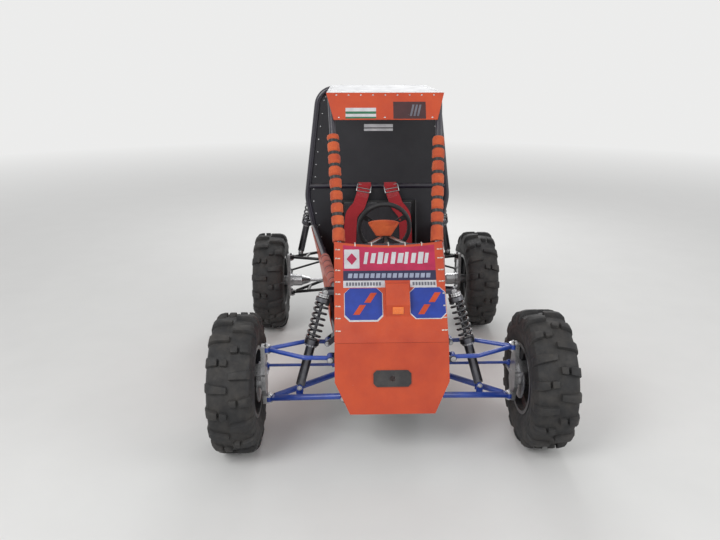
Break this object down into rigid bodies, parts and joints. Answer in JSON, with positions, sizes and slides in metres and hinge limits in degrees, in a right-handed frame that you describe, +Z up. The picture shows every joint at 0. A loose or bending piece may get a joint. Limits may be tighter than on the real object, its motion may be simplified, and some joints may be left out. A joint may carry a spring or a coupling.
{
  "type": "off-road buggy",
  "caption": "Single-seat off-road buggy with a tube frame, wishbone suspension, steered front wheels, a bucket seat and a rear engine.",
  "frame": {"origin": "on the ground, midway between the axles, on the centre plane", "axes": "+Z up, the nose points to -Y, +X to the driver's left"},
  "size_m": [1.585, 2.0962, 1.5913],
  "materials": {
    "orange_panel": "satin",
    "cage_tube": "satin",
    "blue_arm": "satin",
    "black_arm": "satin",
    "tyre_rubber": "matte",
    "rim_steel": "satin",
    "machined_steel": "satin",
    "dark_steel": "satin",
    "damper_body": "satin",
    "spring_coat": "satin",
    "wheel_rubber": "matte",
    "pan_sheet": "satin",
    "roof_sheet": "satin",
    "black_sheet": "matte",
    "orange_pad": "matte",
    "black_plastic": "matte",
    "seat_fabric": "matte",
    "red_belt": "matte",
    "engine_casting": "matte",
    "engine_cover": "satin",
    "tank_coat": "satin"
  },
  "bodies": {
    "chassis": {"rear_roll_hoop": "cage_tube", "overhead_rails": "cage_tube", "lower_rails": "cage_tube", "side_rails": "cage_tube", "frame_posts": "cage_tube", "cross_tubes": "cage_tube", "rear_stays": "cage_tube", "rear_braces": "cage_tube", "rear_uprights": "machined_steel", "arm_brackets": "cage_tube", "dampers": "damper_body", "coil_springs": "spring_coat", "front_arms": "blue_arm", "rear_arms": "black_arm", "steering_supports": "machined_steel", "dash_panel": "orange_pad", "front_panels": "orange_panel", "tow_plates": "dark_steel", "side_panels": "orange_panel", "belly_pan": "pan_sheet", "roof_panel": "roof_sheet", "visor_panel": "orange_panel", "firewall": "black_sheet", "pillar_pads": "orange_pad", "seat_shell": "black_plastic", "seat_pads": "seat_fabric", "harness": "red_belt", "engine_mount": "dark_steel", "engine_block": "engine_casting", "blower_housing": "engine_cover", "drive_cover": "black_sheet", "gearbox": "engine_casting", "fuel_tank": "tank_coat", "muffler": "dark_steel", "pedals": "machined_steel"},
    "wheel_front_left": {"tyre_front_left": "tyre_rubber", "rim_front_left": "rim_steel", "hub_front_left": "machined_steel"},
    "wheel_front_right": {"tyre_front_right": "tyre_rubber", "rim_front_right": "rim_steel", "hub_front_right": "machined_steel"},
    "wheel_rear_left": {"tyre_rear_left": "tyre_rubber", "rim_rear_left": "rim_steel", "hub_rear_left": "machined_steel"},
    "wheel_rear_right": {"tyre_rear_right": "tyre_rubber", "rim_rear_right": "rim_steel", "hub_rear_right": "machined_steel"},
    "knuckle_left": {"knuckle_left": "machined_steel"},
    "tie_rod_left": {"tie_rod_left": "blue_arm"},
    "knuckle_right": {"knuckle_right": "machined_steel"},
    "tie_rod_right": {"tie_rod_right": "blue_arm"},
    "steering_wheel": {"steering_wheel": "wheel_rubber"},
    "steering_shaft": {"steering_shaft": "machined_steel"},
    "rack": {"rack_bar": "machined_steel"}
  },
  "joints": [
    {"name": "steer_left", "type": "hinge", "parent": "chassis", "child": "knuckle_left", "pos_m": [0.56, -0.732, 0.3175], "axis": [0, 0, 1], "range_deg": [-28, 28]},
    {"name": "steer_right", "type": "hinge", "parent": "chassis", "child": "knuckle_right", "pos_m": [-0.56, -0.732, 0.3175], "axis": [0, 0, 1], "range_deg": [-28.2, 28.2]},
    {"name": "rack_slide", "type": "slide", "parent": "chassis", "child": "rack", "axis": [1, 0, 0], "range_m": [-0.0472, 0.0472]},
    {"name": "steering_wheel_turn", "type": "hinge", "parent": "chassis", "child": "steering_wheel", "pos_m": [0, -0.227, 0.915], "axis": [0, 0.9781, 0.2079], "range_deg": [-181, 181]},
    {"name": "steering_shaft_turn", "type": "hinge", "parent": "chassis", "child": "steering_shaft", "pos_m": [0, -0.632, 0.35], "axis": [0, 0.3928, 0.9196], "range_deg": [-181, 181]},
    {"name": "tie_rod_swing_left", "type": "hinge", "parent": "rack", "child": "tie_rod_left", "pos_m": [0.2405, -0.632, 0.35], "axis": [0, 0, 1], "range_deg": [-1.3, 1.3]},
    {"name": "tie_rod_swing_right", "type": "hinge", "parent": "rack", "child": "tie_rod_right", "pos_m": [-0.2405, -0.632, 0.35], "axis": [0, 0, 1], "range_deg": [-1.3, 1.3]},
    {"name": "spin_front_left", "type": "hinge", "parent": "knuckle_left", "child": "wheel_front_left", "pos_m": [0.6925, -0.732, 0.3175], "axis": [1, 0, 0], "continuous": true},
    {"name": "spin_front_right", "type": "hinge", "parent": "knuckle_right", "child": "wheel_front_right", "pos_m": [-0.6925, -0.732, 0.3175], "axis": [1, 0, 0], "continuous": true},
    {"name": "spin_rear_left", "type": "hinge", "parent": "chassis", "child": "wheel_rear_left", "pos_m": [0.6875, 0.732, 0.3175], "axis": [1, 0, 0], "continuous": true},
    {"name": "spin_rear_right", "type": "hinge", "parent": "chassis", "child": "wheel_rear_right", "pos_m": [-0.6875, 0.732, 0.3175], "axis": [1, 0, 0], "continuous": true}
  ],
  "couplings": [
    {"joint": "steer_right", "follows": "steer_left", "ratio": 1},
    {"joint": "rack_slide", "follows": "steer_left", "m_per_rad": -0.09607},
    {"joint": "steering_wheel_turn", "follows": "steer_left", "ratio": 6.43},
    {"joint": "steering_shaft_turn", "follows": "steer_left", "ratio": 6.43},
    {"joint": "tie_rod_swing_left", "follows": "steer_left", "ratio": 0.0433},
    {"joint": "tie_rod_swing_right", "follows": "steer_left", "ratio": 0.0433}
  ]
}
